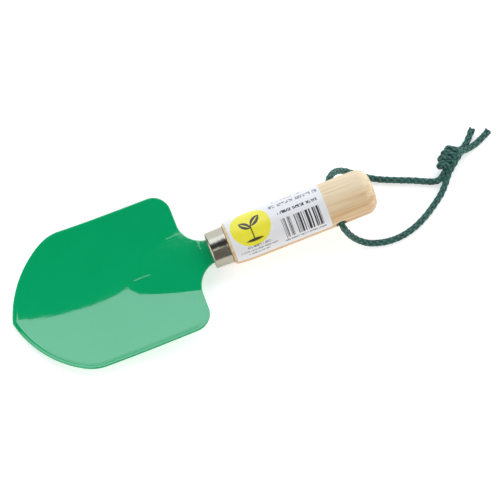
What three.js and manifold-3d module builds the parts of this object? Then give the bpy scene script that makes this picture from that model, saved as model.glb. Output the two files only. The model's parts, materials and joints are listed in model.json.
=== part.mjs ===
// A small hand trowel: a pressed steel blade whose tang is driven into a turned wooden handle, a plated
// ferrule over the joint, a paper label on the handle and a braided hanging cord through its butt.
//
// Millimetres, +Z up. The trowel lies as it does on a bench, on its belly and the shoulder of its grip, with
// the butt a little clear: +X runs from the nose of the blade to the butt, and the origin is on the bench,
// under the middle of the trowel.
// The rigid parts are drawn in the tool's own axes, where x is the distance from the nose along the
// handle's axis, y is to the side and z is above that axis; one turned group then lays them down.

import * as THREE from 'three';
import { mergeVertices } from 'three/addons/utils/BufferGeometryUtils.js';
import Module from 'manifold-3d';

const wasm = await Module();
wasm.setup();

// Driving dimensions
const LENGTH = 239;
const BLADE_HALF_WIDTH = 47;
const SHEET = 1.5;
const GRIP_RADIUS = 14.6;
const CLEARANCE = 0.35;

// Outline of the blade, in plan
const NOSE_ARC = 69;
const NOSE_ARC_OFFSET = 16.2;
const CORNER_ARC = 26.5;
const SIDE_TAPER = 0.008;
const SHOULDER_X = 116.5;
const SHOULDER_ARC = 11.5;
const NECK_ARC = 17;
const NECK_HALF_WIDTH = 7.6;
const TANG_ROOT_X = 130.8;
const TANG_ROOT_HALF_WIDTH = 6;
const TANG_END_X = 190;
const TANG_END_HALF_WIDTH = 2.5;

// Pressed form of the blade: a dish and the flat strap of the neck that runs out into it
const DISH_DEPTH_BELOW_AXIS = 2.2;
const DISH_RADIUS = 170;
const NOSE_RISE = 10;
const NOSE_RISE_RUN = 80;
const STRAP_START_X = 75;
const STRAP_LEVEL_X = 125;
const STRAP_CROWN_RADIUS = 600;
const PRESS_FILLET = 0.25;

// Ferrule: a deep-drawn cup, slotted for the neck
const FERRULE_X = 130;
const FERRULE_LENGTH = 12.2;
const FERRULE_FRONT_RADIUS = 11.7;
const FERRULE_REAR_RADIUS = 12.1;
const FERRULE_WALL = 0.8;
const FERRULE_EDGE_RADIUS = 1.2;

// Handle
const STEP_RADIUS = 12.8;
const SHOULDER_FLARE = 14;
const BUTT_EDGE_RADIUS = 8;
const CORD_HOLE_X = 212.6;
const CORD_HOLE_RADIUS = 3.1;

// Label
const LABEL_X = 144;
const LABEL_LENGTH = 63;
const LABEL_HALF_ANGLE = THREE.MathUtils.degToRad(82);
const LABEL_THICKNESS = 0.3;

// Cord
const CORD_RADIUS = 2;
const KNOT_CENTRE = [177.6, 7.2, 5.3];
const KNOT_HALF_SIZE = [8.8, 7.0, 5.2];
const KNOT_TURN = THREE.MathUtils.degToRad(36);

const green = new THREE.MeshStandardMaterial({ color: 0x00a062, roughness: 0.12, metalness: 0 });
const nickel = new THREE.MeshStandardMaterial({ color: 0xcfcdc4, roughness: 0.22, metalness: 1 });
const wood = new THREE.MeshStandardMaterial({ color: 0xdcc49c, roughness: 0.55, metalness: 0 });
const paper = new THREE.MeshStandardMaterial({ color: 0xf2f2f2, roughness: 0.4, metalness: 0 });
const braid = new THREE.MeshStandardMaterial({ color: 0x2f5f55, roughness: 0.8, metalness: 0 });

// ---------------------------------------------------------------- solids

function toManifold(geometry) {
  const bare = geometry.clone();
  bare.deleteAttribute('normal');
  bare.deleteAttribute('uv');
  const merged = mergeVertices(bare, 1e-4);
  const vertProperties = new Float32Array(merged.attributes.position.array);
  const triVerts = new Uint32Array(merged.index.array);
  return new wasm.Manifold(new wasm.Mesh({ numProp: 3, vertProperties, triVerts }));
}

function toGeometry(manifold) {
  const mesh = manifold.getMesh();
  const geometry = new THREE.BufferGeometry();
  geometry.setAttribute('position', new THREE.BufferAttribute(mesh.vertProperties, 3));
  geometry.setIndex(new THREE.BufferAttribute(mesh.triVerts, 1));
  geometry.computeVertexNormals();
  return geometry;
}

// A turned solid about the x axis, from a closed outline of [x, radius] points.
function turned(outline, sides) {
  const points = outline.map(([x, radius]) => new THREE.Vector2(radius, x));
  return new THREE.LatheGeometry(points, sides).rotateZ(-Math.PI / 2);
}

// A prism with a plan outline, from z = -height to z = +height.
function planPrism(points, height) {
  const shape = new THREE.Shape(points);
  const prism = new THREE.ExtrudeGeometry(shape, { depth: 2 * height, bevelEnabled: false });
  return prism.translate(0, 0, -height);
}

// Points on an arc, first to last angle, in degrees.
function arc(cx, cy, radius, from, to, steps) {
  const points = [];
  for (let i = 0; i <= steps; i += 1) {
    const angle = THREE.MathUtils.degToRad(from + ((to - from) * i) / steps);
    points.push([cx + radius * Math.cos(angle), cy + radius * Math.sin(angle)]);
  }
  return points;
}

// ---------------------------------------------------------------- blade

// Half the width of the neck, where it narrows on an arc towards the ferrule.
function neckHalfWidth(x) {
  const fromEnd = SHOULDER_X + NECK_ARC - x;
  return NECK_HALF_WIDTH + NECK_ARC - Math.sqrt(NECK_ARC ** 2 - fromEnd ** 2);
}

// One side of the blade's outline, from the nose to the end of the tang.
function halfOutline() {
  const noseX = Math.sqrt(NOSE_ARC ** 2 - NOSE_ARC_OFFSET ** 2);
  const cornerY = BLADE_HALF_WIDTH - CORNER_ARC;
  const apart = NOSE_ARC - CORNER_ARC;
  const cornerX = noseX - Math.sqrt(apart ** 2 - (cornerY + NOSE_ARC_OFFSET) ** 2);
  const noseFrom = THREE.MathUtils.radToDeg(Math.atan2(NOSE_ARC_OFFSET, -noseX));
  const meetAt = THREE.MathUtils.radToDeg(Math.atan2(cornerY + NOSE_ARC_OFFSET, cornerX - noseX));
  const shoulderX = SHOULDER_X - SHOULDER_ARC;
  const shoulderY = BLADE_HALF_WIDTH - SIDE_TAPER * (shoulderX - cornerX) - SHOULDER_ARC;
  const neckX = SHOULDER_X + NECK_ARC;
  const neckY = NECK_HALF_WIDTH + NECK_ARC;
  const neckEnd = 270 - THREE.MathUtils.radToDeg(Math.asin((neckX - TANG_ROOT_X) / NECK_ARC));
  return [
    ...arc(noseX, -NOSE_ARC_OFFSET, NOSE_ARC, noseFrom, meetAt, 9),
    ...arc(cornerX, cornerY, CORNER_ARC, meetAt, 90, 6).slice(1),
    ...arc(shoulderX, shoulderY, SHOULDER_ARC, 90, 0, 7),
    ...arc(neckX, neckY, NECK_ARC, 180, neckEnd, 9),
    [TANG_ROOT_X, TANG_ROOT_HALF_WIDTH],
    [TANG_END_X, TANG_END_HALF_WIDTH],
  ];
}

function dishBottom(x) {
  const run = Math.max(1 - x / NOSE_RISE_RUN, 0);
  return -DISH_DEPTH_BELOW_AXIS + NOSE_RISE * run * run;
}

// Height of the middle of the sheet. The strap meets the dish in a soft crease.
function sheetHeight(x, y) {
  const dish = dishBottom(x) + (y * y) / (2 * DISH_RADIUS);
  const climb = Math.min((x - STRAP_START_X) / (STRAP_LEVEL_X - STRAP_START_X), 1);
  const strap = -DISH_DEPTH_BELOW_AXIS * (1 - climb) - (y * y) / (2 * STRAP_CROWN_RADIUS);
  const gap = dish - strap;
  return (dish + strap + Math.sqrt(gap * gap + PRESS_FILLET * PRESS_FILLET)) / 2;
}

// The pressed sheet before it is trimmed: a closed slab over a grid in plan.
function pressedSheet() {
  const xs = [];
  for (let x = -2; x < STRAP_LEVEL_X + 4; x += 4) xs.push(x);
  xs.push(TANG_ROOT_X + 1, TANG_END_X + 2);
  const ys = [];
  const reach = BLADE_HALF_WIDTH + 3;
  for (let j = 0; j <= 24; j += 1) ys.push(reach * (j / 12 - 1));
  const positions = [];
  for (const side of [1, -1]) {
    for (const x of xs) {
      for (const y of ys) positions.push(x, y, sheetHeight(x, y) + (side * SHEET) / 2);
    }
  }
  const row = ys.length;
  const layer = xs.length * row;
  const index = [];
  const quad = (a, b, c, d) => index.push(a, b, c, a, c, d);
  for (let i = 0; i + 1 < xs.length; i += 1) {
    for (let j = 0; j + 1 < row; j += 1) {
      const a = i * row + j;
      quad(a, a + row, a + row + 1, a + 1);
      quad(layer + a, layer + a + 1, layer + a + row + 1, layer + a + row);
    }
    const left = i * row;
    const right = left + row - 1;
    quad(left, layer + left, layer + left + row, left + row);
    quad(right, right + row, layer + right + row, layer + right);
  }
  const last = layer - row;
  for (let j = 0; j + 1 < row; j += 1) {
    quad(j, j + 1, layer + j + 1, layer + j);
    quad(last + j, layer + last + j, layer + last + j + 1, last + j + 1);
  }
  const slab = new THREE.BufferGeometry();
  slab.setAttribute('position', new THREE.Float32BufferAttribute(positions, 3));
  slab.setIndex(index);
  return slab;
}

function bladeGeometry() {
  const half = halfOutline();
  const other = half.slice(1).reverse().map(([x, y]) => [x, -y]);
  const outline = [...half, ...other].map(([x, y]) => new THREE.Vector2(x, y));
  const blank = toManifold(planPrism(outline, 3 * GRIP_RADIUS));
  return toGeometry(toManifold(pressedSheet()).intersect(blank));
}

// ---------------------------------------------------------------- ferrule and handle

function ferruleGeometry() {
  const rearX = FERRULE_X + FERRULE_LENGTH;
  const edge = FERRULE_EDGE_RADIUS;
  const cup = turned([
    [FERRULE_X, 0],
    ...arc(FERRULE_X + edge, FERRULE_FRONT_RADIUS - edge, edge, 180, 90, 4),
    [rearX, FERRULE_REAR_RADIUS],
    [rearX, FERRULE_REAR_RADIUS - FERRULE_WALL],
    [FERRULE_X + FERRULE_WALL, FERRULE_FRONT_RADIUS - FERRULE_WALL],
    [FERRULE_X + FERRULE_WALL, 0],
  ], 40);
  const slotWidth = 2 * (neckHalfWidth(FERRULE_X) + CLEARANCE);
  const slot = new THREE.BoxGeometry(2 * FERRULE_EDGE_RADIUS, slotWidth, SHEET + 2 * CLEARANCE);
  slot.translate(FERRULE_X, 0, 0);
  return toGeometry(toManifold(cup).subtract(toManifold(slot)));
}

// The slot for the tang: its outline with clearance, open at the front of the tenon.
function tangSlot() {
  const start = TANG_ROOT_HALF_WIDTH + CLEARANCE;
  const end = TANG_END_HALF_WIDTH + CLEARANCE;
  const endX = TANG_END_X + 2;
  const outline = [
    [FERRULE_X, -start], [TANG_ROOT_X, -start], [endX, -end],
    [endX, end], [TANG_ROOT_X, start], [FERRULE_X, start],
  ].map(([x, y]) => new THREE.Vector2(x, y));
  return planPrism(outline, SHEET / 2 + CLEARANCE);
}

// The rounded shoulder of the grip behind the ferrule, as [x, radius] points.
function shoulderFlare() {
  const stepX = FERRULE_X + FERRULE_LENGTH + CLEARANCE;
  const flare = [];
  for (let i = 0; i <= 8; i += 1) {
    const angle = (Math.PI / 2) * (i / 8);
    const x = stepX + SHOULDER_FLARE * (1 - Math.cos(angle));
    flare.push([x, STEP_RADIUS + (GRIP_RADIUS - STEP_RADIUS) * Math.sin(angle)]);
  }
  return flare;
}

function handleGeometry() {
  const tenonFront = FERRULE_X + FERRULE_WALL + CLEARANCE;
  const tenonFrontRadius = FERRULE_FRONT_RADIUS - FERRULE_WALL - CLEARANCE;
  const tenonRearRadius = FERRULE_REAR_RADIUS - FERRULE_WALL - CLEARANCE;
  const edge = BUTT_EDGE_RADIUS;
  const body = turned([
    [tenonFront, 0],
    [tenonFront, tenonFrontRadius],
    [FERRULE_X + FERRULE_LENGTH + CLEARANCE, tenonRearRadius],
    ...shoulderFlare(),
    ...arc(LENGTH - edge, GRIP_RADIUS - edge, edge, 90, 0, 7),
    [LENGTH, 0],
  ], 44);
  const hole = new THREE.CylinderGeometry(CORD_HOLE_RADIUS, CORD_HOLE_RADIUS, 4 * GRIP_RADIUS, 20);
  hole.translate(CORD_HOLE_X, 0, 0);
  return toGeometry(toManifold(body).subtract(toManifold(tangSlot())).subtract(toManifold(hole)));
}

// ---------------------------------------------------------------- label

// The label follows the shoulder and the grip: a thin shell round them, cut to the angle it covers.
function labelGeometry() {
  const end = LABEL_X + LABEL_LENGTH;
  const flare = shoulderFlare();
  const turn = Math.acos(1 - (LABEL_X - flare[0][0]) / SHOULDER_FLARE);
  const frontRadius = STEP_RADIUS + (GRIP_RADIUS - STEP_RADIUS) * Math.sin(turn);
  const line = [[LABEL_X, frontRadius], ...flare.filter(([x]) => x > LABEL_X), [end, GRIP_RADIUS]];
  const outer = turned([
    [LABEL_X, 0],
    ...line.map(([x, radius]) => [x, radius + CLEARANCE + LABEL_THICKNESS]),
    [end, 0],
  ], 56);
  const inner = turned([
    [LABEL_X - 1, 0],
    [LABEL_X - 1, frontRadius + CLEARANCE],
    ...line.map(([x, radius]) => [x, radius + CLEARANCE]),
    [end + 1, GRIP_RADIUS + CLEARANCE],
    [end + 1, 0],
  ], 56);
  const sector = new THREE.Shape();
  sector.absarc(0, 0, 2 * GRIP_RADIUS, Math.PI / 2 - LABEL_HALF_ANGLE, Math.PI / 2 + LABEL_HALF_ANGLE, false);
  sector.lineTo(0, 0);
  const wedge = new THREE.ExtrudeGeometry(sector, {
    depth: LABEL_LENGTH + 2,
    bevelEnabled: false,
    curveSegments: 14,
  });
  wedge.rotateX(Math.PI / 2).rotateZ(Math.PI / 2).translate(LABEL_X - 1, 0, 0);
  return toGeometry(toManifold(outer).subtract(toManifold(inner)).intersect(toManifold(wedge)));
}

// ---------------------------------------------------------------- cord

function cordTube(route, steps, sides) {
  const curve = new THREE.CatmullRomCurve3(route.map((point) => new THREE.Vector3(...point)));
  const ring = [];
  for (let i = 0; i < sides; i += 1) {
    const angle = (2 * Math.PI * i) / sides;
    ring.push(new THREE.Vector2(CORD_RADIUS * Math.cos(angle), CORD_RADIUS * Math.sin(angle)));
  }
  return new THREE.ExtrudeGeometry(new THREE.Shape(ring), { steps, extrudePath: curve });
}

// The loop, from the knot round by the far side, up through the handle and back down by the near side.
const loopRoute = [
  [169.6, 3.1, 3.4], [165.2, 1.1, 2.5], [160.0, 0.9, 2.2], [150.9, 4.5, 2.2], [140.0, 8.6, 2.2],
  [130.4, 12.4, 2.2], [123.6, 16.4, 2.3], [117.6, 20.6, 3.0], [112.4, 23.4, 5.2], [107.6, 24.6, 9.0],
  [102.8, 23.9, 14.4], [98.2, 21.6, 19.0], [94.6, 18.2, 21.7], [92.6, 13.0, 22.3], [92.46, 5.0, 22.31],
  [92.46, -5.0, 22.31], [92.5, -12.6, 22.3], [93.0, -16.6, 20.6], [95.0, -18.9, 16.0], [98.2, -21.2, 10.4],
  [102.6, -23.6, 5.6], [108.0, -26.2, 2.9], [114.6, -28.2, 2.2], [121.4, -29.2, 2.2], [129.4, -28.9, 2.2],
  [138.8, -26.5, 2.2], [148.1, -22.2, 2.2], [157.3, -16.3, 2.2], [165.2, -10.4, 2.2], [170.8, -5.7, 2.6],
  [173.4, -2.6, 3.2],
];

// The two tails, side by side out of the knot and then apart.
const shortTailRoute = [
  [185.0, 12.6, 3.6], [189.2, 15.2, 2.7], [193.4, 18.4, 2.2], [197.2, 21.8, 2.2], [201.0, 25.3, 2.2],
];
const longTailRoute = [
  [186.6, 7.6, 3.6], [191.6, 9.8, 2.6], [198.9, 13.2, 2.2], [204.6, 16.0, 2.2], [210.4, 19.1, 2.2],
];

function knotGeometry() {
  const knot = new THREE.SphereGeometry(1, 18, 10).rotateX(Math.PI / 2);
  knot.scale(...KNOT_HALF_SIZE);
  return knot.rotateZ(KNOT_TURN).translate(...KNOT_CENTRE);
}

// ---------------------------------------------------------------- assembly

function part(name, geometry, material) {
  const mesh = new THREE.Mesh(geometry, material);
  mesh.name = name;
  return mesh;
}

// The nose-down pitch at which the trowel lies: it tips forward on the shoulder of the grip until the
// belly of the blade meets the bench.
function restPitch() {
  const shoulder = shoulderFlare();
  let pitch = Infinity;
  for (let x = 0; x <= STRAP_START_X; x += 1) {
    const belly = dishBottom(x) - SHEET / 2;
    const steepest = Math.max(...shoulder.map(([at, radius]) => Math.atan2(radius + belly, at - x)));
    pitch = Math.min(pitch, steepest);
  }
  return pitch;
}

const tool = new THREE.Group();
tool.add(part('blade', bladeGeometry(), green));
tool.add(part('ferrule', ferruleGeometry(), nickel));
tool.add(part('handle', handleGeometry(), wood));
tool.add(part('label', labelGeometry(), paper));
tool.rotation.y = -restPitch();
tool.updateMatrixWorld(true);

const lying = new THREE.Box3().setFromObject(tool, true);
tool.position.set(-(lying.min.x + lying.max.x) / 2, 0, -lying.min.z);

const trowel = new THREE.Group();
trowel.add(tool);
trowel.add(part('cord_loop', cordTube(loopRoute, 56, 10), braid));
trowel.add(part('cord_short_tail', cordTube(shortTailRoute, 4, 10), braid));
trowel.add(part('cord_long_tail', cordTube(longTailRoute, 5, 10), braid));
trowel.add(part('cord_knot', knotGeometry(), braid));

export default trowel;
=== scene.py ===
"""A small hand trowel lying on a bench.

Metres, +Z up, +X from the nose of the blade to the butt of the handle. The rigid pieces are drawn in the
tool's own axes (x from the nose along the handle's axis, y to the side, z above that axis) and laid down
by laid(), which reads how the tool lies from the frame.
"""

import json
import math

import bmesh
import bpy
from mathutils import Matrix, Vector, kdtree


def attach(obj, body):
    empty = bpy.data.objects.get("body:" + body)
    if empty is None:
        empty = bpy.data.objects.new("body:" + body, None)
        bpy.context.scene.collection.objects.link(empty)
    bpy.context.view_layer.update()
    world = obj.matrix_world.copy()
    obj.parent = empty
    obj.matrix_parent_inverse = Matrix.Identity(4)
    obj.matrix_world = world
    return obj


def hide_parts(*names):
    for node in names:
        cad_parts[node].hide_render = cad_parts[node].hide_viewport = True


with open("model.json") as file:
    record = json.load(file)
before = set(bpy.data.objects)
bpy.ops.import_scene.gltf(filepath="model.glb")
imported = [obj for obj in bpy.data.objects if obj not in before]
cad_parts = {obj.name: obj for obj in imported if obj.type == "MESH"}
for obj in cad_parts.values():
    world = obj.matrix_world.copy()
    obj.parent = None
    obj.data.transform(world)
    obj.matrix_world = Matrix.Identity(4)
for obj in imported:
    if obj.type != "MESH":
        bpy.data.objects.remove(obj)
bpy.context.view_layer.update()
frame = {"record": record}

# ------------------------------------------------------------------ sizes

LENGTH = 0.239
BLADE_HALF_WIDTH = 0.047
SHEET = 0.0015
GRIP_RADIUS = 0.0146

# Outline of the blade, in plan
NOSE_ARC = 0.069
NOSE_ARC_OFFSET = 0.0162
CORNER_ARC = 0.0265
SIDE_TAPER = 0.008
SHOULDER_X = 0.1165
SHOULDER_ARC = 0.0115
NECK_ARC = 0.017
NECK_HALF_WIDTH = 0.0076
TANG_ROOT_X = 0.1308
TANG_ROOT_HALF_WIDTH = 0.006
TANG_END_X = 0.19
TANG_END_HALF_WIDTH = 0.0025

# Pressed form of the blade
DISH_DEPTH_BELOW_AXIS = 0.0022
DISH_RADIUS = 0.17
NOSE_RISE = 0.01
NOSE_RISE_RUN = 0.08
STRAP_START_X = 0.075
STRAP_LEVEL_X = 0.125
STRAP_CROWN_RADIUS = 0.6
PRESS_FILLET = 0.00025
EDGE_CORNER = 0.00072
EDGE_ROLL = 0.00015
EDGE_ROLL_WIDTH = 0.0035
PAINT_BEAD = 0.0002
PAINT_BEAD_FROM_EDGE = 0.0024
PAINT_BEAD_HALF_WIDTH = 0.0009
FAR_BEAD_SHARE = 0.25
EDGE_FORM_FADES = (0.106, 0.114)
CREST_HEIGHT = 0.0002
CREST_HALF_WIDTH = 0.0011

# Ferrule
FERRULE_X = 0.13
FERRULE_LENGTH = 0.0122
FERRULE_FRONT_RADIUS = 0.0117
FERRULE_REAR_RADIUS = 0.0121
FERRULE_WALL = 0.0008
FERRULE_EDGE_RADIUS = 0.0014
FERRULE_REAR_CURL = 0.0004

# Handle
CLEARANCE = 0.00035
STEP_RADIUS = 0.0128
SHOULDER_FLARE = 0.014
BUTT_EDGE_RADIUS = 0.008
CORD_HOLE_X = 0.2126
CORD_HOLE_RADIUS = 0.0031
HOLE_MOUTH_CHAMFER = 0.0007

# Label
LABEL_X = 0.144
LABEL_LENGTH = 0.063
LABEL_HALF_ANGLE = math.radians(82)
LABEL_THICKNESS = 0.00012
LABEL_GLUE = 0.00005

# Cord
CORE_RADIUS = 0.0012
STRAND_HALF_WIDTH = 0.00088
STRAND_HALF_THICKNESS = 0.00058
STRAND_ORBIT = 0.00146
STRAND_LIFT = 0.00024
BRAID_PITCH = 0.0185
STRANDS_EACH_WAY = 4

# ------------------------------------------------------------------ how the tool lies

butt_face = next(mount for mount in frame["record"]["mounts"] if mount["name"] == "butt_face")
BUTT = Vector(butt_face["pos_m"])
ALONG = Vector(butt_face["axis"]).normalized()
ABOVE = Vector((-ALONG.z, 0, ALONG.x))
PITCH = math.atan2(ALONG.z, ALONG.x)
# What a point turned back by the pitch still needs to be in the tool's own axes
TOOL_SHIFT = (LENGTH - BUTT.dot(ALONG), 0, -BUTT.dot(ABOVE))


def laid(x, y, z):
    """A point given in the tool's own axes, in the row frame."""
    return BUTT + (x - LENGTH) * ALONG + Vector((0, y, 0)) + z * ABOVE


# ------------------------------------------------------------------ camera

VIEW_TARGET = Vector((0.0343, -0.0078, 0.012))
VIEW_AZIMUTH = math.radians(-25.55)
VIEW_ELEVATION = math.radians(69.64)
VIEW_DISTANCE = 1.1007
VIEW_ROLL = math.radians(5.09)
VIEW_LENS_MM = 126.8


def add_camera():
    back = Vector((
        math.sin(VIEW_AZIMUTH) * math.cos(VIEW_ELEVATION),
        -math.cos(VIEW_AZIMUTH) * math.cos(VIEW_ELEVATION),
        math.sin(VIEW_ELEVATION),
    ))
    level = Vector((math.cos(VIEW_AZIMUTH), math.sin(VIEW_AZIMUTH), 0))
    right = Matrix.Rotation(VIEW_ROLL, 3, back) @ level
    up = back.cross(right)
    data = bpy.data.cameras.new("camera")
    data.lens = VIEW_LENS_MM
    camera = bpy.data.objects.new("camera", data)
    bpy.context.scene.collection.objects.link(camera)
    turn = Matrix((right, up, back)).transposed().to_4x4()
    camera.matrix_world = Matrix.Translation(VIEW_TARGET + VIEW_DISTANCE * back) @ turn
    bpy.context.scene.camera = camera


add_camera()

# ------------------------------------------------------------------ node trees


class Value:
    """A number's socket that can be used in Python arithmetic."""

    def __init__(self, tree, socket):
        self.tree = tree
        self.socket = socket

    def maths(self, operation, *others):
        return self.tree.maths(operation, self, *others)

    def __add__(self, other):
        return self.tree.maths("ADD", self, other)

    __radd__ = __add__

    def __sub__(self, other):
        return self.tree.maths("SUBTRACT", self, other)

    def __rsub__(self, other):
        return self.tree.maths("SUBTRACT", other, self)

    def __mul__(self, other):
        return self.tree.maths("MULTIPLY", self, other)

    __rmul__ = __mul__

    def __truediv__(self, other):
        return self.tree.maths("DIVIDE", self, other)

    def __lt__(self, other):
        return self.tree.maths("LESS_THAN", self, other)

    def __gt__(self, other):
        return self.tree.maths("GREATER_THAN", self, other)


class Tree:
    """A node tree with one way to add a node: its type, its settings, then its sockets' values or links."""

    def __init__(self, nodes):
        self.nodes = nodes

    def link(self, source, socket):
        if isinstance(source, Value):
            source = source.socket
        if isinstance(source, bpy.types.NodeSocket):
            self.nodes.links.new(source, socket)
        elif source is not None:
            socket.default_value = source

    def add(self, kind, settings=None, sockets=None):
        node = self.nodes.nodes.new(kind)
        for name, setting in (settings or {}).items():
            setattr(node, name, setting)
        for key, source in (sockets or {}).items():
            self.link(source, node.inputs[key])
        return node

    def maths(self, operation, *operands):
        settings = {"operation": operation}
        node = self.add("ShaderNodeMath", settings, dict(enumerate(operands)))
        return Value(self, node.outputs[0])

    def output(self, node, name):
        return Value(self, node.outputs[name])

    def smooth_step(self, value, low, high):
        """0 below low, 1 above high, eased between."""
        settings = {"interpolation_type": "SMOOTHSTEP"}
        node = self.add("ShaderNodeMapRange", settings, {"Value": value, "From Min": low, "From Max": high})
        return self.output(node, "Result")


class Finish(Tree):
    """The node tree of a material, with a Principled shader whose constants are set on its own sockets."""

    def __init__(self, name, constants):
        self.material = bpy.data.materials.new(name)
        self.material.use_nodes = True
        super().__init__(self.material.node_tree)
        self.shader = self.nodes.nodes["Principled BSDF"]
        for key, value in constants.items():
            self.shader.inputs[key].default_value = value

    def surface(self, **sources):
        for name, source in sources.items():
            self.link(source, self.shader.inputs[name.replace("_", " ")])
        return self.material

    def place(self):
        return self.add("ShaderNodeTexCoord").outputs["Object"]

    def attribute(self, name, output="Fac"):
        node = self.add("ShaderNodeAttribute", {"attribute_name": name})
        return self.output(node, output)

    def mapped(self, vector, turn=(0, 0, 0), scale=(1, 1, 1), shift=(0, 0, 0)):
        sockets = {"Vector": vector, "Location": shift, "Rotation": turn, "Scale": scale}
        return self.add("ShaderNodeMapping", None, sockets).outputs["Vector"]

    def split(self, vector):
        node = self.add("ShaderNodeSeparateXYZ", None, {"Vector": vector})
        return [self.output(node, axis) for axis in "XYZ"]

    def joined(self, x, y, z):
        return self.add("ShaderNodeCombineXYZ", None, {"X": x, "Y": y, "Z": z}).outputs["Vector"]

    def noise(self, vector, scale, detail=3, roughness=0.5, distortion=0):
        sockets = {
            "Vector": vector,
            "Scale": scale,
            "Detail": detail,
            "Roughness": roughness,
            "Distortion": distortion,
        }
        return self.output(self.add("ShaderNodeTexNoise", None, sockets), "Fac")

    def scatter(self, vector, dimensions="2D"):
        node = self.add("ShaderNodeTexWhiteNoise", {"noise_dimensions": dimensions})
        self.link(vector, node.inputs["W" if dimensions == "1D" else "Vector"])
        return self.output(node, "Value")

    def blend(self, factor, low, high):
        node = self.add("ShaderNodeMix", {"data_type": "RGBA"})
        self.link(factor, node.inputs["Factor"])
        for colour, socket in ((low, node.inputs[6]), (high, node.inputs[7])):
            self.link((*colour, 1) if isinstance(colour, tuple) else colour, socket)
        return node.outputs[2]

    def crest(self, x, y, start, end, middle):
        """1 on a short fine ridge along x, from start to end at y = middle, falling to 0 round it."""
        away = (y - middle).maths("ABSOLUTE")
        inside = self.smooth_step(x, start, start + 0.0015) * (1 - self.smooth_step(x, end - 0.004, end))
        return inside * (1 - self.smooth_step(away, 0, CREST_HALF_WIDTH))

    def bump(self, height, depth, strength=1.0, normal=None):
        """A Bump node for a height from 0 to 1 that stands for a depth in metres."""
        sockets = {"Height": height, "Distance": depth, "Strength": strength, "Normal": normal}
        return self.add("ShaderNodeBump", None, sockets).outputs["Normal"]


# ------------------------------------------------------------------ finishes


def enamel():
    """High-gloss green enamel with a faint orange peel, and two fine ridges along the strap's creases."""
    finish = Finish("green_enamel", {"IOR": 1.5, "Coat Weight": 1.0, "Coat Roughness": 0.03})
    place = finish.place()
    cloud = finish.noise(place, 45, detail=2)
    peel = finish.noise(place, 330, detail=2, roughness=0.45)
    speck = finish.noise(place, 2600, detail=1)
    colour = finish.blend(cloud, (0.0001, 0.345, 0.116), (0.0002, 0.375, 0.13))
    dust = finish.smooth_step(speck, 0.72, 0.8)
    x, y, _ = finish.split(finish.mapped(place, turn=(0, PITCH, 0), shift=TOOL_SHIFT))
    crest = finish.crest(x, y, 0.0780, 0.0910, 0.0)
    crease = finish.crest(x, y, 0.1060, 0.1165, 0.0178) * 0.55
    coat = finish.bump(peel, 0.000035, 0.9)
    return finish.surface(
        Base_Color=colour,
        Roughness=0.045 + 0.03 * cloud + 0.05 * dust,
        Normal=finish.bump(crest.maths("MAXIMUM", crease), CREST_HEIGHT, 1.0, coat),
    )


def nickel():
    """Bright nickel plate with fine turning marks round it."""
    finish = Finish("nickel_plate", {"Metallic": 1.0, "Anisotropic": 0.25})
    place = finish.mapped(finish.place(), turn=(0, PITCH, 0), scale=(1, 0.06, 0.06))
    marks = finish.noise(place, 5200, detail=4, roughness=0.65)
    cloud = finish.noise(finish.place(), 160, detail=3)
    colour = finish.blend(cloud, (0.36, 0.335, 0.26), (0.43, 0.40, 0.32))
    return finish.surface(
        Base_Color=colour,
        Roughness=0.13 + 0.1 * marks + 0.08 * cloud,
        Normal=finish.bump(marks, 0.00001, 0.4),
    )


def lacquered_wood():
    """Pale, straight-grained hardwood under a thin clear lacquer, with painted shade that darkens its lower
    near side.
    """
    finish = Finish("lacquered_wood", {"IOR": 1.5, "Coat Weight": 0.12, "Coat Roughness": 0.25})
    tool = finish.mapped(finish.place(), turn=(0, PITCH, 0), shift=TOOL_SHIFT)
    along, across, above = finish.split(tool)
    drift = finish.noise(finish.mapped(tool, scale=(0.12, 1, 1)), 60, detail=3)
    ring = finish.joined(0, across + 0.012, above + 0.045)
    radius = finish.add("ShaderNodeVectorMath", {"operation": "LENGTH"}, {0: ring}).outputs["Value"]
    growth = Value(finish, radius) * 1500 + drift * 9 + along * 14
    late = (0.5 + 0.5 * growth.maths("SINE")).maths("POWER", 2.2)
    streak = finish.noise(finish.mapped(tool, scale=(0.035, 1, 1)), 420, detail=5, roughness=0.62)
    pore = finish.noise(finish.mapped(tool, scale=(0.03, 1, 1)), 2600, detail=3, roughness=0.7)
    # painted shade: the wood's colour darkens towards its lower side on -y, away from the light; it is mixed
    # into the grain's tone below
    painted_near_side_shade = finish.smooth_step(above + 0.9 * across, 0.011, -0.006)
    grain_and_shade = 0.12 * late + 1.5 * streak + 0.32 * painted_near_side_shade - 0.6
    warm = finish.blend(finish.smooth_step(grain_and_shade, 0.0, 0.75), (0.76, 0.61, 0.40), (0.60, 0.36, 0.16))
    pores = finish.smooth_step(pore, 0.6, 0.72)
    colour = finish.blend(pores * 0.35, warm, (0.40, 0.22, 0.09))
    relief = 0.7 * streak - 0.5 * pores
    return finish.surface(
        Base_Color=colour,
        Roughness=0.36 + 0.2 * streak,
        Normal=finish.bump(relief, 0.00008, 0.5),
    )


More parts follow.
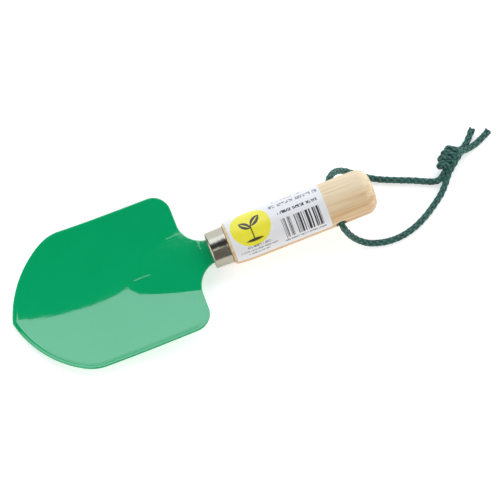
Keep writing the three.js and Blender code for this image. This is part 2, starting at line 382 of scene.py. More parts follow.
class Print:
    """Marks printed on the label, as masks over its own axes: u along it and v round it, in metres."""

    def __init__(self, finish, u, v):
        self.finish = finish
        self.u = u
        self.v = v

    def box(self, u_low, u_high, v_low, v_high):
        inside = (self.u > u_low) * (self.u < u_high)
        return inside * (self.v > v_low) * (self.v < v_high)

    def disc(self, u, v, radius):
        du = self.u - u
        dv = self.v - v
        return du * du + dv * dv < radius * radius

    def leaf(self, u, v, lean, length, fullness):
        """A pointed leaf from (u, v), leaning by an angle: the overlap of two discs."""
        radius = length * fullness
        middle = (u + 0.5 * length * math.cos(lean), v + 0.5 * length * math.sin(lean))
        reach = math.sqrt(radius * radius - 0.25 * length * length)
        side = (-math.sin(lean) * reach, math.cos(lean) * reach)
        one = self.disc(middle[0] + side[0], middle[1] + side[1], radius)
        other = self.disc(middle[0] - side[0], middle[1] - side[1], radius)
        return one * other

    def bars(self, u_low, u_high, v_low, v_high, module):
        """Upright bars of chance widths that carry no code."""
        number = (self.u / module).maths("FLOOR")
        return self.box(u_low, u_high, v_low, v_high) * (self.finish.scatter(number, "1D") > 0.42)

    def line(self, u_low, u_high, v, height, seed):
        """A line of meaningless marks the size of small print."""
        column = (self.u / (0.3 * height)).maths("FLOOR")
        row = ((self.v - v) / (0.34 * height)).maths("FLOOR")
        word = (self.u / (4.3 * height)).maths("FLOOR")
        mark = self.finish.scatter(self.finish.joined(column, row, seed), "3D") > 0.34
        gap = (self.u / (4.3 * height) - word) < 0.88
        return self.box(u_low, u_high, v - height / 2, v + height / 2) * mark * gap


def label_paper():
    """Coated white paper printed with a yellow disc and sprout, a bar block and lines of small print."""
    finish = Finish("label_paper", {"IOR": 1.45, "Coat Weight": 0.25, "Coat Roughness": 0.2})
    uv = finish.add("ShaderNodeUVMap", {"uv_map": "print"}).outputs["UV"]
    u, v, _ = finish.split(uv)
    u = u * LABEL_LENGTH
    v = v * LABEL_LENGTH
    marks = Print(finish, u, v)
    seed = iter(range(3, 60, 7))

    grain = finish.noise(finish.place(), 1400, detail=3)
    paper = finish.blend(grain, (0.72, 0.71, 0.71), (0.76, 0.75, 0.75))
    disc = marks.disc(0.0147, 0.0012, 0.0129)
    colour = finish.blend(disc, paper, (0.80, 0.72, 0.035))

    stem = marks.box(0.0142, 0.0150, -0.0085, 0.0015)
    leaf_left = marks.leaf(0.0145, -0.0005, math.radians(142), 0.0085, 0.62)
    leaf_right = marks.leaf(0.0147, 0.0008, math.radians(40), 0.0092, 0.62)
    vein_left = marks.leaf(0.0140, -0.0001, math.radians(142), 0.0070, 2.6)
    vein_right = marks.leaf(0.0152, 0.0012, math.radians(40), 0.0076, 2.6)
    soil = marks.leaf(0.0087, -0.0080, 0, 0.0120, 1.6)
    sprout = stem.maths("MAXIMUM", leaf_left).maths("MAXIMUM", leaf_right).maths("MAXIMUM", soil)
    sprout = sprout * (1 - vein_left) * (1 - vein_right)
    colour = finish.blend(sprout, colour, (0.045, 0.042, 0.016))

    bold = marks.line(0.0330, 0.0590, 0.0020, 0.0020, next(seed))
    block = marks.bars(0.0335, 0.0585, -0.0150, -0.0022, 0.00033)
    guards = marks.bars(0.0335, 0.0345, -0.0160, -0.0150, 0.00033)
    ink = bold.maths("MAXIMUM", block).maths("MAXIMUM", guards)
    colour = finish.blend(ink, colour, (0.035, 0.035, 0.04))

    heading = marks.line(0.0290, 0.0610, 0.0084, 0.0027, next(seed))
    tagline = marks.line(0.0320, 0.0520, 0.0135, 0.0022, next(seed))
    figures = marks.line(0.0320, 0.0600, -0.0170, 0.0014, next(seed))
    small = marks.line(0.0080, 0.0240, -0.0121, 0.0014, next(seed))
    smaller = marks.line(0.0035, 0.0275, -0.0146, 0.0011, next(seed))
    smallest = marks.line(0.0080, 0.0220, -0.0170, 0.0011, next(seed))
    grey = heading * 0.8
    for line in (tagline * 0.55, figures * 0.85, small * 0.8, smaller * 0.8, smallest * 0.8):
        grey = grey.maths("MAXIMUM", line)
    colour = finish.blend(grey, colour, (0.10, 0.10, 0.12))
    return finish.surface(
        Base_Color=colour,
        Roughness=0.34 + 0.12 * grain,
        Normal=finish.bump(grain, 0.00001, 0.3),
    )


def braided_cord():
    """Dark green multifilament cord: fine fibres along each strand, with painted shade darkening it where
    strands dive under, in the braid's crevices.
    """
    finish = Finish("braided_cord", {"Sheen Weight": 0.25, "Sheen Roughness": 0.4, "IOR": 1.45})
    along = finish.attribute("strand_along")
    around = finish.attribute("strand_around")
    lift = finish.attribute("strand_lift")
    fibre_place = finish.joined(along * 260, around * 22, lift * 0.2)
    fibre = finish.noise(fibre_place, 1.0, detail=3, roughness=0.6)
    patch = finish.noise(finish.place(), 210, detail=2)
    # painted shade: lift darkens each strand where it dives under its neighbours, in the crevices
    strand_tone_and_shade = (0.45 * fibre + 0.35 * patch + 0.55 * lift - 0.4).maths("MAXIMUM", 0)
    colour = finish.blend(finish.smooth_step(strand_tone_and_shade, 0.05, 0.6), (0.003, 0.020, 0.016), (0.029, 0.148, 0.116))
    return finish.surface(
        Base_Color=colour,
        Roughness=0.5 + 0.2 * fibre,
        Normal=finish.bump(fibre, 0.00012, 0.7),
    )


# ------------------------------------------------------------------ mesh helpers


def add_piece(name, mesh, material, slot, *nodes):
    """A finished piece: an object at the origin that rides on the root and stands for CAD nodes."""
    piece = bpy.data.objects.new(name, mesh)
    bpy.context.scene.collection.objects.link(piece)
    if material is not None:
        mesh.materials.clear()
        mesh.materials.append(material)
    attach(piece, "root")
    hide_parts(*nodes)
    return piece


def mesh_from(name, points, faces, sharp_above=math.radians(40)):
    """A closed, smooth-shaded mesh with its faces outwards."""
    mesh = bpy.data.meshes.new(name)
    mesh.from_pydata([tuple(point) for point in points], [], faces)
    solid = bmesh.new()
    solid.from_mesh(mesh)
    bmesh.ops.remove_doubles(solid, verts=solid.verts, dist=1e-7)
    bmesh.ops.recalc_face_normals(solid, faces=solid.faces)
    solid.to_mesh(mesh)
    solid.free()
    smooth(mesh, sharp_above)
    return mesh


def smooth(mesh, sharp_above):
    mesh.shade_smooth()
    mesh.set_sharp_from_angle(angle=sharp_above)


def arc(centre_x, centre_y, radius, first, last, steps):
    """Points on an arc, from the first to the last angle, in degrees."""
    points = []
    for i in range(steps + 1):
        angle = math.radians(first + (last - first) * i / steps)
        points.append((centre_x + radius * math.cos(angle), centre_y + radius * math.sin(angle)))
    return points


def spaced(points, spacing):
    """The same plan line with points about evenly spaced, its corners kept."""
    line = [points[0]]
    for (x0, y0), (x1, y1) in zip(points, points[1:]):
        steps = max(1, round(math.hypot(x1 - x0, y1 - y0) / spacing))
        for i in range(1, steps + 1):
            line.append((x0 + (x1 - x0) * i / steps, y0 + (y1 - y0) * i / steps))
    return line


def turned_mesh(name, profile, sides):
    """A solid turned about the tool's axis, from (x, radius) points that start and end on it."""
    points = []
    faces = []
    rings = []
    for x, radius in profile:
        if radius < 1e-6:
            rings.append([len(points)] * sides)
            points.append(laid(x, 0, 0))
            continue
        rings.append([len(points) + i for i in range(sides)])
        for i in range(sides):
            angle = 2 * math.pi * i / sides
            points.append(laid(x, radius * math.cos(angle), radius * math.sin(angle)))
    for near, far in zip(rings, rings[1:]):
        for i in range(sides):
            j = (i + 1) % sides
            corners = dict.fromkeys((near[i], near[j], far[j], far[i]))
            faces.append(tuple(corners))
    return mesh_from(name, points, faces)


def cut(mesh, cutters):
    """The mesh with each cutter taken out of it."""
    body = bpy.data.objects.new("cutting", mesh)
    bpy.context.scene.collection.objects.link(body)
    tools = []
    for cutter in cutters:
        tool = bpy.data.objects.new("cutter", cutter)
        bpy.context.scene.collection.objects.link(tool)
        tools.append(tool)
        boolean = body.modifiers.new("cut", "BOOLEAN")
        boolean.operation = "DIFFERENCE"
        boolean.solver = "EXACT"
        boolean.object = tool
    bpy.context.view_layer.update()
    result = bpy.data.meshes.new_from_object(body.evaluated_get(bpy.context.evaluated_depsgraph_get()))
    for item in (body, *tools):
        bpy.data.objects.remove(item)
    smooth(result, math.radians(32))
    return result


def prism(name, outline, low, high):
    """A prism over a plan outline, between two heights above the tool's axis."""
    count = len(outline)
    points = [laid(x, y, low) for x, y in outline] + [laid(x, y, high) for x, y in outline]
    faces = [tuple(range(count)), tuple(range(count, 2 * count))]
    for i in range(count):
        j = (i + 1) % count
        faces.append((i, j, count + j, count + i))
    return mesh_from(name, points, faces)


# ------------------------------------------------------------------ cord

# The cord goes through the handle's cross hole; each half starts in the middle of the hole, comes down to
# the bench, runs to the knot, is tied into it and ends in its own tail.
HOLE = (0.09246, 0, 0.02231)
KNOT_MIDDLE = Vector((0.1764, 0.0074, 0.0054))
KNOT_AXIS = math.radians(36)
KNOT_TURNS = 3.3
KNOT_FIRST_ANGLE = math.radians(205)
KNOT_FAR_END = 0.0094
KNOT_LENGTH = 0.0132
KNOT_HALF_WIDTH = 0.0042
KNOT_HALF_HEIGHT = 0.0031
KNOT_OFFSET = 0.0008


def in_knot(ahead, left, above):
    """A point given along the knot's axis, to its left and above its middle, in the row frame."""
    x = ahead * math.cos(KNOT_AXIS) - left * math.sin(KNOT_AXIS)
    y = ahead * math.sin(KNOT_AXIS) + left * math.cos(KNOT_AXIS)
    return tuple(KNOT_MIDDLE + Vector((x, y, above)))


def knot_turns():
    """The turns of the knot round its own core, from its far end back to its near end."""
    steps = 40
    turns = []
    for i in range(steps + 1):
        done = i / steps
        angle = KNOT_FIRST_ANGLE - 2 * math.pi * KNOT_TURNS * done
        swell = 0.84 + 0.2 * math.sin(math.pi * done)
        left = KNOT_OFFSET + KNOT_HALF_WIDTH * swell * math.cos(angle)
        above = KNOT_HALF_HEIGHT * swell * math.sin(angle)
        turns.append(in_knot(KNOT_FAR_END - KNOT_LENGTH * done, left, above))
    return turns


near_route = [
    HOLE, (0.09246, -0.0060, 0.0223), (0.0925, -0.0126, 0.0223), (0.0930, -0.0166, 0.0206),
    (0.0950, -0.0189, 0.0160), (0.0982, -0.0212, 0.0104), (0.1026, -0.0236, 0.0056),
    (0.1080, -0.0262, 0.0029), (0.1146, -0.0282, 0.0022), (0.1214, -0.0292, 0.0022),
    (0.1294, -0.0289, 0.0022), (0.1388, -0.0265, 0.0022), (0.1481, -0.0222, 0.0022),
    (0.1573, -0.0163, 0.0022), (0.1650, -0.0104, 0.0022), (0.1704, -0.0046, 0.0027),
    (0.1741, 0.0000, 0.0046), (0.1783, 0.0034, 0.0073), (0.1830, 0.0072, 0.0082),
    (0.1871, 0.0104, 0.0060), (0.1926, 0.0118, 0.0033), (0.1992, 0.0137, 0.0023),
    (0.2056, 0.0166, 0.0023), (0.2104, 0.0191, 0.0027),
]
far_route = [
    HOLE, (0.09250, 0.0060, 0.0223), (0.0936, 0.0114, 0.0222), (0.0958, 0.0158, 0.0214),
    (0.0992, 0.0194, 0.0188), (0.1034, 0.0224, 0.0142), (0.1080, 0.0239, 0.0089),
    (0.1124, 0.0234, 0.0052), (0.1176, 0.0206, 0.0030), (0.1236, 0.0164, 0.0023),
    (0.1304, 0.0124, 0.0022), (0.1400, 0.0083, 0.0022), (0.1509, 0.0040, 0.0022),
    (0.1584, 0.0006, 0.0022), (0.1635, -0.0014, 0.0023), (0.1676, -0.0013, 0.0026),
    in_knot(-0.0062, -0.0020, -0.0014), in_knot(-0.0020, -0.0006, -0.0006),
    in_knot(0.0030, 0.0004, -0.0004), in_knot(0.0088, 0.0006, -0.0004), in_knot(0.0108, -0.0006, -0.0014),
    *knot_turns(),
    in_knot(-0.0046, 0.0024, 0.0021), in_knot(-0.0060, 0.0028, 0.0004), in_knot(-0.0044, 0.0018, -0.0008),
    in_knot(-0.0012, 0.0008, 0.0004), in_knot(0.0024, 0.0004, 0.0010), in_knot(0.0070, -0.0006, 0.0004),
    (0.1866, 0.0127, 0.0030), (0.1905, 0.0140, 0.0023), (0.1943, 0.0168, 0.0022),
    (0.1977, 0.0204, 0.0024), (0.2010, 0.0239, 0.0028),
]


def flowing(route, spacing=0.0005):
    """A smooth line through the route's points."""
    points = [Vector(point) for point in route]
    ends = [2 * points[0] - points[1], *points, 2 * points[-1] - points[-2]]
    line = [points[0]]
    for before, start, end, after in zip(ends, ends[1:], ends[2:], ends[3:]):
        steps = max(2, round((end - start).length / spacing))
        for i in range(1, steps + 1):
            t = i / steps
            pull = 2 * start + (end - before) * t
            pull += (2 * before - 5 * start + 4 * end - after) * t * t
            pull += (3 * start - before - 3 * end + after) * t * t * t
            line.append(pull / 2)
    return line


def braid_tree(material):
    """Geometry nodes that braid strands round a curve, over a plain core."""
    nodes = bpy.data.node_groups.new("braid", "GeometryNodeTree")
    sockets = {
        "Route": "NodeSocketGeometry",
        "Core Radius": "NodeSocketFloat",
        "Strand Half Width": "NodeSocketFloat",
        "Strand Half Thickness": "NodeSocketFloat",
        "Orbit": "NodeSocketFloat",
        "Lift": "NodeSocketFloat",
        "Pitch": "NodeSocketFloat",
        "Strands Each Way": "NodeSocketInt",
        "Flare": "NodeSocketFloat",
        "Flare Length": "NodeSocketFloat",
    }
    for name, kind in sockets.items():
        nodes.interface.new_socket(name, in_out="INPUT", socket_type=kind)
    nodes.interface.new_socket("Braid", in_out="OUTPUT", socket_type="NodeSocketGeometry")
    tree = Tree(nodes)
    given = tree.add("NodeGroupInput")
    size = {name: tree.output(given, name) for name in sockets}

    even = {"Curve": size["Route"], "Length": 0.0006}
    route = tree.add("GeometryNodeResampleCurve", {"mode": "LENGTH"}, even).outputs["Curve"]
    along = tree.output(tree.add("GeometryNodeSplineParameter"), "Length")
    whole = tree.output(tree.add("GeometryNodeSplineLength"), "Length")
    copies = tree.add(
        "GeometryNodeDuplicateElements",
        {"domain": "SPLINE"},
        {"Geometry": route, "Amount": size["Strands Each Way"] * 2},
    )
    number = tree.output(copies, "Duplicate Index")
    hand = 1 - 2 * number.maths("MODULO", 2)
    rank = (number / 2).maths("FLOOR")
    advance = along * (2 * math.pi) / size["Pitch"]
    angle = hand * advance + rank * (2 * math.pi) / size["Strands Each Way"]
    over = hand * (advance * size["Strands Each Way"]).maths("COSINE")
    flare = tree.smooth_step(along, whole - size["Flare Length"], whole) * size["Flare"]
    orbit = (size["Orbit"] + size["Lift"] * over) * (1 + flare)

    normal = tree.add("GeometryNodeInputNormal").outputs["Normal"]
    tangent = tree.add("GeometryNodeInputTangent").outputs["Tangent"]
    turn = {"Vector": normal, "Axis": tangent, "Angle": angle}
    radial = tree.add("ShaderNodeVectorRotate", {"rotation_type": "AXIS_ANGLE"}, turn).outputs["Vector"]

    strands = copies.outputs["Geometry"]
    kept = {
        "strand_radial": ("FLOAT_VECTOR", radial),
        "strand_along": ("FLOAT", along + number * 0.37),
        # strand_lift also carries the painted shade in the cord's colour, darker where a strand dives under
        "strand_lift": ("FLOAT", 0.5 + 0.5 * over),
    }
    for name, (kind, source) in kept.items():
        settings = {"data_type": kind, "domain": "POINT"}
        store = tree.add("GeometryNodeStoreNamedAttribute", settings, {"Geometry": strands, "Name": name})
        tree.link(source, store.inputs["Value"])
        strands = store.outputs["Geometry"]
    offset = tree.add("ShaderNodeVectorMath", {"operation": "SCALE"}, {0: radial, "Scale": orbit})
    moved = {"Geometry": strands, "Offset": offset.outputs["Vector"]}
    strands = tree.add("GeometryNodeSetPosition", None, moved).outputs["Geometry"]
    vector = {"data_type": "FLOAT_VECTOR"}
    outward = tree.add("GeometryNodeInputNamedAttribute", vector, {"Name": "strand_radial"})
    facing = {"Curve": strands, "Normal": outward.outputs["Attribute"]}
    strands = tree.add("GeometryNodeSetCurveNormal", {"mode": "FREE"}, facing).outputs["Curve"]

    ring = tree.add("GeometryNodeCurvePrimitiveCircle", None, {"Resolution": 8, "Radius": 1.0})
    round_it = tree.output(tree.add("GeometryNodeSplineParameter"), "Factor")
    store = tree.add(
        "GeometryNodeStoreNamedAttribute",
        {"data_type": "FLOAT", "domain": "POINT"},
        {"Geometry": ring.outputs["Curve"], "Name": "strand_around", "Value": round_it},
    )
    flat = tree.add(
        "ShaderNodeCombineXYZ",
        None,
        {"X": size["Strand Half Thickness"], "Y": size["Strand Half Width"], "Z": 1.0},
    )
    section = tree.add(
        "GeometryNodeTransform",
        None,
        {"Geometry": store.outputs["Geometry"], "Scale": flat.outputs["Vector"]},
    ).outputs["Geometry"]
    sweep = {"Curve": strands, "Profile Curve": section, "Fill Caps": True}
    braid = tree.add("GeometryNodeCurveToMesh", None, sweep).outputs["Mesh"]

    core_ring = tree.add("GeometryNodeCurvePrimitiveCircle", None, {"Resolution": 8})
    tree.link(size["Core Radius"], core_ring.inputs["Radius"])
    core_sweep = {"Curve": route, "Profile Curve": core_ring.outputs["Curve"], "Fill Caps": True}
    core = tree.add("GeometryNodeCurveToMesh", None, core_sweep).outputs["Mesh"]
    both = tree.add("GeometryNodeJoinGeometry")
    for part in (core, braid):
        tree.link(part, both.inputs["Geometry"])
    real = tree.add("GeometryNodeRealizeInstances", None, {"Geometry": both.outputs["Geometry"]})
    skin = {"Geometry": real.outputs["Geometry"], "Material": material}
    done = tree.add("GeometryNodeSetMaterial", None, skin)
    tree.add("NodeGroupOutput", None, {"Braid": done.outputs["Geometry"]})
    return nodes


def braided(name, line, tree, flare):
    """The mesh of a braid round a line of points."""
    curve = bpy.data.curves.new(name, "CURVE")
    curve.dimensions = "3D"
    spline = curve.splines.new("POLY")
    spline.points.add(len(line) - 1)
    for point, place in zip(spline.points, line):
        point.co = (*place, 1)
    holder = bpy.data.objects.new(name, curve)
    bpy.context.scene.collection.objects.link(holder)
    modifier = holder.modifiers.new("braid", "NODES")
    modifier.node_group = tree
    sizes = {
        "Core Radius": CORE_RADIUS,
        "Strand Half Width": STRAND_HALF_WIDTH,
        "Strand Half Thickness": STRAND_HALF_THICKNESS,
        "Orbit": STRAND_ORBIT,
        "Lift": STRAND_LIFT,
        "Pitch": BRAID_PITCH,
        "Strands Each Way": STRANDS_EACH_WAY,
        "Flare": flare,
        "Flare Length": 0.0035,
    }
    for item in tree.interface.items_tree:
        if item.item_type == "SOCKET" and item.name in sizes:
            modifier[item.identifier] = sizes[item.name]
    bpy.context.view_layer.update()
    mesh = bpy.data.meshes.new_from_object(holder.evaluated_get(bpy.context.evaluated_depsgraph_get()))
    bpy.data.objects.remove(holder)
    mesh.shade_smooth()
    return mesh


def add_cords():
    tree = braid_tree(braided_cord())
    halves = (
        ("near_cord", near_route, -1, 0.30, ("cord_long_tail",)),
        ("far_cord", far_route, 1, 0.22, ("cord_loop", "cord_knot", "cord_short_tail")),
    )
    for name, route, side, flare, nodes in halves:
        line = flowing(route)
        piece = add_piece(name, braided(name, line, tree, flare), None, "braided_cord", *nodes)
        length = sum((after - before).length for before, after in zip(line, line[1:]))
        side * GRIP_RADIUS


add_cords()

# ------------------------------------------------------------------ blade


def neck_half_width(x):
    from_end = SHOULDER_X + NECK_ARC - x
    return NECK_HALF_WIDTH + NECK_ARC - math.sqrt(NECK_ARC ** 2 - from_end ** 2)


def half_outline():
    """One side of the blade in plan, nose to tang: stretches of points, with where each stretch starts and
    ends on the middle line."""
    nose_x = math.sqrt(NOSE_ARC ** 2 - NOSE_ARC_OFFSET ** 2)
    corner_y = BLADE_HALF_WIDTH - CORNER_ARC
    apart = NOSE_ARC - CORNER_ARC
    corner_x = nose_x - math.sqrt(apart ** 2 - (corner_y + NOSE_ARC_OFFSET) ** 2)
    nose_from = math.degrees(math.atan2(NOSE_ARC_OFFSET, -nose_x))
    meet_at = math.degrees(math.atan2(corner_y + NOSE_ARC_OFFSET, corner_x - nose_x))
    shoulder_x = SHOULDER_X - SHOULDER_ARC
    shoulder_y = BLADE_HALF_WIDTH - SIDE_TAPER * (shoulder_x - corner_x) - SHOULDER_ARC
    neck_x = SHOULDER_X + NECK_ARC
    neck_y = NECK_HALF_WIDTH + NECK_ARC
    neck_end = 270 - math.degrees(math.asin((neck_x - TANG_ROOT_X) / NECK_ARC))
    nose = arc(nose_x, -NOSE_ARC_OFFSET, NOSE_ARC, nose_from, meet_at, 60)
    corner = arc(corner_x, corner_y, CORNER_ARC, meet_at, 90, 34)
    shoulder = arc(shoulder_x, shoulder_y, SHOULDER_ARC, 90, 0, 30)
    neck = arc(neck_x, neck_y, NECK_ARC, 180, neck_end, 34)
    tang = [(TANG_ROOT_X, TANG_ROOT_HALF_WIDTH), (TANG_END_X, TANG_END_HALF_WIDTH)]
    return [
        (nose, 0.030, 0.042),
        (corner, 0.042, 0.054),
        (spaced([corner[-1], shoulder[0]], 0.001), 0.054, 0.097),
        (shoulder, 0.097, 0.108),
        (spaced([shoulder[-1], neck[0]], 0.0009), 0.108, 0.1155),
        (neck, 0.1155, TANG_ROOT_X),
        (spaced(tang, 0.003), TANG_ROOT_X + 0.0004, TANG_END_X),
    ]


def sheet_height(x, y):
    """Height of the middle of the sheet above the tool's axis: a dish, and the strap it runs up into."""
    run = max(1 - x / NOSE_RISE_RUN, 0)
    dish = -DISH_DEPTH_BELOW_AXIS + NOSE_RISE * run * run + y * y / (2 * DISH_RADIUS)
    climb = min((x - STRAP_START_X) / (STRAP_LEVEL_X - STRAP_START_X), 1)
    strap = -DISH_DEPTH_BELOW_AXIS * (1 - climb) - y * y / (2 * STRAP_CROWN_RADIUS)
    gap = dish - strap
    return (dish + strap + math.sqrt(gap * gap + PRESS_FILLET * PRESS_FILLET)) / 2


def sheet_normal(x, y):
    step = 0.0001
    slope_x = (sheet_height(x + step, y) - sheet_height(x - step, y)) / (2 * step)
    slope_y = (sheet_height(x, y + step) - sheet_height(x, y - step)) / (2 * step)
    return Vector((-slope_x, -slope_y, 1)).normalized()


def blade_ribs():
    """Pairs of a point on the blade's middle line and a point on its outline, with the way out there."""
    line = []
    middles = []
    for stretch, first, last in half_outline():
        for i, point in enumerate(stretch):
            if line and math.dist(line[-1], point) < 1e-6:
                continue
            line.append(point)
            middles.append(first + (last - first) * i / (len(stretch) - 1))
    ribs = []
    for i, (x, y) in enumerate(line):
        before = line[max(i - 1, 0)]
        after = line[min(i + 1, len(line) - 1)]
        out = Vector((before[1] - after[1], after[0] - before[0], 0)).normalized()
        if i == 0:
            out = Vector((-1, 0, 0))
        if i == len(line) - 1:
            out = Vector((0, 1, 0))
        ribs.append((middles[i], Vector((x, y, 0)), out))
    return ribs


RIB_STEPS = 56
CORNER_STEPS = 4


def outline_tree():
    """The blade's outline as closely spaced points, to find how far a point is from the edge."""
    half = [point for stretch, _, _ in half_outline() for point in stretch]
    line = spaced(half, 0.00025)
    tree = kdtree.KDTree(len(line))
    for i, (x, y) in enumerate(line):
        tree.insert((x, y, 0), i)
    tree.balance()
    return tree


def edge_form(place, side, tree):
    """How far the sheet rolls down near its edge, and the height of the low bead of enamel there, which is
    fuller on the near side."""
    distance = tree.find((place.x, place.y, 0))[2]
    start, end = EDGE_FORM_FADES
    fade = min(max((end - place.x) / (end - start), 0), 1)
    roll = EDGE_ROLL * max(1 - distance / EDGE_ROLL_WIDTH, 0) ** 2
    off_bead = min(abs(distance - PAINT_BEAD_FROM_EDGE) / PAINT_BEAD_HALF_WIDTH, 1)
    bead = PAINT_BEAD * math.cos(off_bead * math.pi / 2) ** 2
    if side > 0:
        bead *= FAR_BEAD_SHARE
    return roll * fade, bead * fade


def rib_points(middle, edge, out, side, tree):
    """The closed half section of the sheet at one rib: over the top, round the edge and back below."""
    inner = edge - EDGE_CORNER * out
    top = []
    bottom = []
    for i in range(RIB_STEPS + 1):
        t = 1 - (1 - i / RIB_STEPS) ** 1.5
        place = Vector((middle, 0, 0)).lerp(inner, t)
        roll, bead = edge_form(place, side, tree)
        normal = sheet_normal(place.x, place.y)
        mid = Vector((place.x, place.y, sheet_height(place.x, place.y) - roll))
        top.append(mid + normal * (SHEET / 2 + bead))
        bottom.append(mid - normal * SHEET / 2)
    normal = sheet_normal(inner.x, inner.y)
    mid = (top[-1] + bottom[-1]) / 2
    outward = (out - normal * out.dot(normal)).normalized()
    corner = []
    for sign in (1, -1):
        for j in range(CORNER_STEPS + 1):
            turn = (math.pi / 2) * j / CORNER_STEPS
            if sign < 0:
                turn = math.pi / 2 - turn
            rise = sign * (SHEET / 2 - EDGE_CORNER + EDGE_CORNER * math.cos(turn))
            corner.append(mid + outward * EDGE_CORNER * math.sin(turn) + normal * rise)
    section = [*top[:-1], *corner, *reversed(bottom[:-1])]
    return [laid(point.x, side * point.y, point.z) for point in section]


def add_blade():
    ribs = blade_ribs()
    tree = outline_tree()
    points = []
    faces = []
    size = 0
    for side in (1, -1):
        start = len(points)
        for middle, edge, out in ribs:
            section = rib_points(middle, edge, out, side, tree)
            size = len(section)
            points.extend(section)
        for i in range(len(ribs) - 1):
            for j in range(size - 1):
                a = start + i * size + j
                faces.append((a, a + 1, a + size + 1, a + size))
        last = start + (len(ribs) - 1) * size
        for j in range(size // 2 - 1):
            faces.append((last + j, last + j + 1, last + size - 2 - j, last + size - 1 - j))
    mesh = mesh_from("blade", points, faces, math.radians(60))
    add_piece("blade_pressing", mesh, enamel(), "painted_steel", "blade")


add_blade()

# ------------------------------------------------------------------ ferrule


def add_ferrule():
    rear = FERRULE_X + FERRULE_LENGTH
    edge = FERRULE_EDGE_RADIUS
    curl = FERRULE_REAR_CURL
    outer_curve = arc(FERRULE_X + edge, FERRULE_FRONT_RADIUS - edge, edge, 180, 92, 10)
    profile = [(FERRULE_X, 0), (FERRULE_X, FERRULE_FRONT_RADIUS / 2), *outer_curve]
    for i in range(1, 9):
        t = i / 9
        waist = 0.00012 * math.sin(math.pi * t)
        radius = FERRULE_FRONT_RADIUS + (FERRULE_REAR_RADIUS - FERRULE_FRONT_RADIUS) * t - waist
        profile.append((FERRULE_X + edge + (FERRULE_LENGTH - edge - curl) * t, radius))
    profile += arc(rear - curl, FERRULE_REAR_RADIUS - curl, curl, 90, -60, 7)
    profile += [
        (rear - curl, FERRULE_REAR_RADIUS - FERRULE_WALL),
        (FERRULE_X + 2 * FERRULE_WALL, FERRULE_FRONT_RADIUS - FERRULE_WALL),
        (FERRULE_X + FERRULE_WALL, FERRULE_FRONT_RADIUS - 2 * FERRULE_WALL),
        (FERRULE_X + FERRULE_WALL, 0),
    ]
    half_width = neck_half_width(FERRULE_X) + CLEARANCE
    half_height = SHEET / 2 + CLEARANCE
    corners = [(-1, -1), (1, -1), (1, 1), (-1, 1)]
    slot = prism(
        "slot",
        [(FERRULE_X + i * FERRULE_EDGE_RADIUS * 1.2, j * half_width) for i, j in corners],
        -half_height,
        half_height,
    )
    mesh = cut(turned_mesh("ferrule", profile, 128), [slot])
    add_piece("ferrule_cup", mesh, nickel(), "plated_steel", "ferrule")


add_ferrule()

# ------------------------------------------------------------------ handle


def handle_radius(x):
    """Radius of the handle behind its step, where the shoulder flares out to the grip."""
    run = (x - FERRULE_X - FERRULE_LENGTH - CLEARANCE / 3) / SHOULDER_FLARE
    flare = math.sin(math.acos(1 - min(max(run, 0), 1)))
    return STEP_RADIUS + (GRIP_RADIUS - STEP_RADIUS) * flare


def handle_profile():
    tenon = FERRULE_X + FERRULE_WALL + CLEARANCE
    step = FERRULE_X + FERRULE_LENGTH + CLEARANCE / 3
    ease = 0.0004
    front = FERRULE_FRONT_RADIUS - FERRULE_WALL - CLEARANCE
    rear = FERRULE_REAR_RADIUS - FERRULE_WALL - CLEARANCE
    profile = [(tenon, 0), (tenon, front - ease), (tenon + ease, front), (step, rear)]
    profile += arc(step + ease, STEP_RADIUS - ease, ease, 180, 100, 5)
    for i in range(1, 33):
        x = step + ease + (SHOULDER_FLARE - ease) * (1 - math.cos((math.pi / 2) * i / 32))
        profile.append((x, handle_radius(x)))
    grip_end = LENGTH - BUTT_EDGE_RADIUS
    start = step + SHOULDER_FLARE
    for i in range(1, 40):
        profile.append((start + (grip_end - start) * i / 40, GRIP_RADIUS))
    profile += arc(grip_end, GRIP_RADIUS - BUTT_EDGE_RADIUS, BUTT_EDGE_RADIUS, 90, 0, 22)
    profile += [(LENGTH, 0.6 * (GRIP_RADIUS - BUTT_EDGE_RADIUS)), (LENGTH, 0)]
    return profile


def hole_cutter():
    """The cord hole across the handle, flared at both mouths."""
    sides = 48
    depth = GRIP_RADIUS + 0.002
    mouth = GRIP_RADIUS - HOLE_MOUTH_CHAMFER
    wide = CORD_HOLE_RADIUS + HOLE_MOUTH_CHAMFER + 0.002
    stations = [(-depth, wide), (-mouth, CORD_HOLE_RADIUS), (mouth, CORD_HOLE_RADIUS), (depth, wide)]
    points = []
    for across, radius in stations:
        for i in range(sides):
            angle = 2 * math.pi * i / sides
            points.append(laid(CORD_HOLE_X + radius * math.cos(angle), across, radius * math.sin(angle)))
    faces = [tuple(range(sides)), tuple(range(3 * sides, 4 * sides))]
    for ring in range(3):
        for i in range(sides):
            j = (i + 1) % sides
            near = ring * sides
            far = near + sides
            faces.append((near + i, near + j, far + j, far + i))
    return mesh_from("cord_hole", points, faces)


def add_handle():
    root = TANG_ROOT_HALF_WIDTH + CLEARANCE
    end = TANG_END_HALF_WIDTH + CLEARANCE
    outline = [
        (FERRULE_X, -root), (TANG_ROOT_X, -root), (TANG_END_X + 0.002, -end),
        (TANG_END_X + 0.002, end), (TANG_ROOT_X, root), (FERRULE_X, root),
    ]
    half_height = SHEET / 2 + CLEARANCE
    slot = prism("tang_slot", outline, -half_height, half_height)
    mesh = cut(turned_mesh("handle", handle_profile(), 144), [slot, hole_cutter()])
    add_piece("handle_turning", mesh, lacquered_wood(), "handle_wood", "handle")


add_handle()

# ------------------------------------------------------------------ label


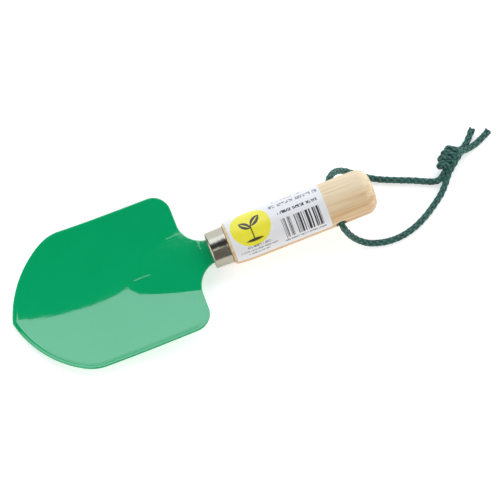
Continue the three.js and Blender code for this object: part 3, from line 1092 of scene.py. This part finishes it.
def add_label():
    """The paper wrap: a thin curved sheet with its own print axes."""
    columns = 60
    rows = 72
    points = []
    prints = []
    for layer in (1, 0):
        for i in range(columns + 1):
            x = LABEL_X + LABEL_LENGTH * i / columns
            radius = handle_radius(x) + LABEL_GLUE + layer * LABEL_THICKNESS
            for j in range(rows + 1):
                angle = LABEL_HALF_ANGLE * (2 * j / rows - 1)
                points.append(laid(x, radius * math.sin(angle), radius * math.cos(angle)))
                prints.append((i / columns, GRIP_RADIUS * angle / LABEL_LENGTH))
    row = rows + 1
    layer = (columns + 1) * row
    faces = []
    for i in range(columns):
        for j in range(rows):
            a = i * row + j
            faces.append((a, a + 1, a + row + 1, a + row))
            faces.append((layer + a, layer + a + row, layer + a + row + 1, layer + a + 1))
        for j in (0, rows):
            a = i * row + j
            faces.append((a, a + row, layer + a + row, layer + a))
    for j in range(rows):
        for i in (0, columns):
            a = i * row + j
            faces.append((a, a + 1, layer + a + 1, layer + a))
    mesh = bpy.data.meshes.new("label")
    mesh.from_pydata([tuple(point) for point in points], [], faces)
    layer_uv = mesh.uv_layers.new(name="print")
    for loop in mesh.loops:
        layer_uv.data[loop.index].uv = prints[loop.vertex_index]
    solid = bmesh.new()
    solid.from_mesh(mesh)
    bmesh.ops.recalc_face_normals(solid, faces=solid.faces)
    solid.to_mesh(mesh)
    solid.free()
    smooth(mesh, math.radians(40))
    add_piece("label_wrap", mesh, label_paper(), "label_film", "label")


add_label()

# ------------------------------------------------------------------ bench and light

FLOOR_HALF = 6.0


def bench_finish():
    """Pale matt paper that glows faintly, so that the shadows on it stay soft."""
    finish = Finish("bench", {
        "Roughness": 0.75,
        "Specular IOR Level": 0.2,
        "Emission Color": (1, 1, 1, 1),
        "Emission Strength": 0.45,
    })
    cloud = finish.noise(finish.place(), 3, detail=2)
    return finish.surface(Base_Color=finish.blend(cloud, (0.86, 0.86, 0.86), (0.88, 0.88, 0.88)))


def add_bench():
    corners = [(-FLOOR_HALF, -FLOOR_HALF), (FLOOR_HALF, -FLOOR_HALF), (FLOOR_HALF, FLOOR_HALF),
               (-FLOOR_HALF, FLOOR_HALF)]
    mesh = bpy.data.meshes.new("bench")
    mesh.from_pydata([(x, y, -0.0002) for x, y in corners], [], [(0, 1, 2, 3)])
    mesh.materials.append(bench_finish())
    bench = bpy.data.objects.new("bench", mesh)
    bpy.context.scene.collection.objects.link(bench)


BACKDROP_RADIUS = 2.0
BACKDROP_MIDDLE_X = -0.05


def add_backdrop(name, first, last, bottom, top, colour, radiance):
    """A curved, softly glowing screen between two azimuths (from +Y towards +X) and two elevations."""
    screen = Finish(name, {
        "Base Color": (0, 0, 0, 1),
        "Specular IOR Level": 0.0,
        "Emission Color": (*colour, 1),
        "Emission Strength": radiance,
    })
    heights = [BACKDROP_RADIUS * math.tan(math.radians(angle)) for angle in (bottom, top)]
    steps = 24
    points = []
    for i in range(steps + 1):
        azimuth = math.radians(first + (last - first) * i / steps)
        x = BACKDROP_MIDDLE_X + BACKDROP_RADIUS * math.sin(azimuth)
        y = BACKDROP_RADIUS * math.cos(azimuth)
        points += [(x, y, height) for height in heights]
    faces = [(2 * i, 2 * i + 1, 2 * i + 3, 2 * i + 2) for i in range(steps)]
    mesh = bpy.data.meshes.new(name)
    mesh.from_pydata(points, [], faces)
    mesh.materials.append(screen.material)
    backdrop = bpy.data.objects.new(name, mesh)
    backdrop.visible_camera = False
    bpy.context.scene.collection.objects.link(backdrop)


def add_light():
    """A tall screen behind the tool, whose top edge ends the highlight on the blade, its dimmer lower part,
    low screens at both sides, and two faint ones in front that only the ferrule mirrors."""
    white = (1.0, 1.0, 1.0)
    add_backdrop("back_screen", -26, 64, 38, 68.4, (0.90, 1.0, 1.14), 2.35)
    add_backdrop("back_skirt", -26, 64, 0, 38, (0.94, 1.0, 1.08), 1.5)
    add_backdrop("side_screen", 64, 150, 4, 52, white, 1.85)
    add_backdrop("nose_screen", -150, -60, 4, 52, white, 1.85)
    add_backdrop("front_strip", 152, 208, 64, 71, white, 2.4)
    add_backdrop("front_fill", 152, 208, 4, 58, white, 0.22)
    world = bpy.data.worlds.new("studio")
    world.use_nodes = True
    bpy.context.scene.world = world
    ambient = world.node_tree.nodes["Background"]
    ambient.inputs["Color"].default_value = (1, 1, 1, 1)
    ambient.inputs["Strength"].default_value = 0.03
    bpy.context.scene.view_settings.view_transform = "Standard"


add_bench()
add_light()
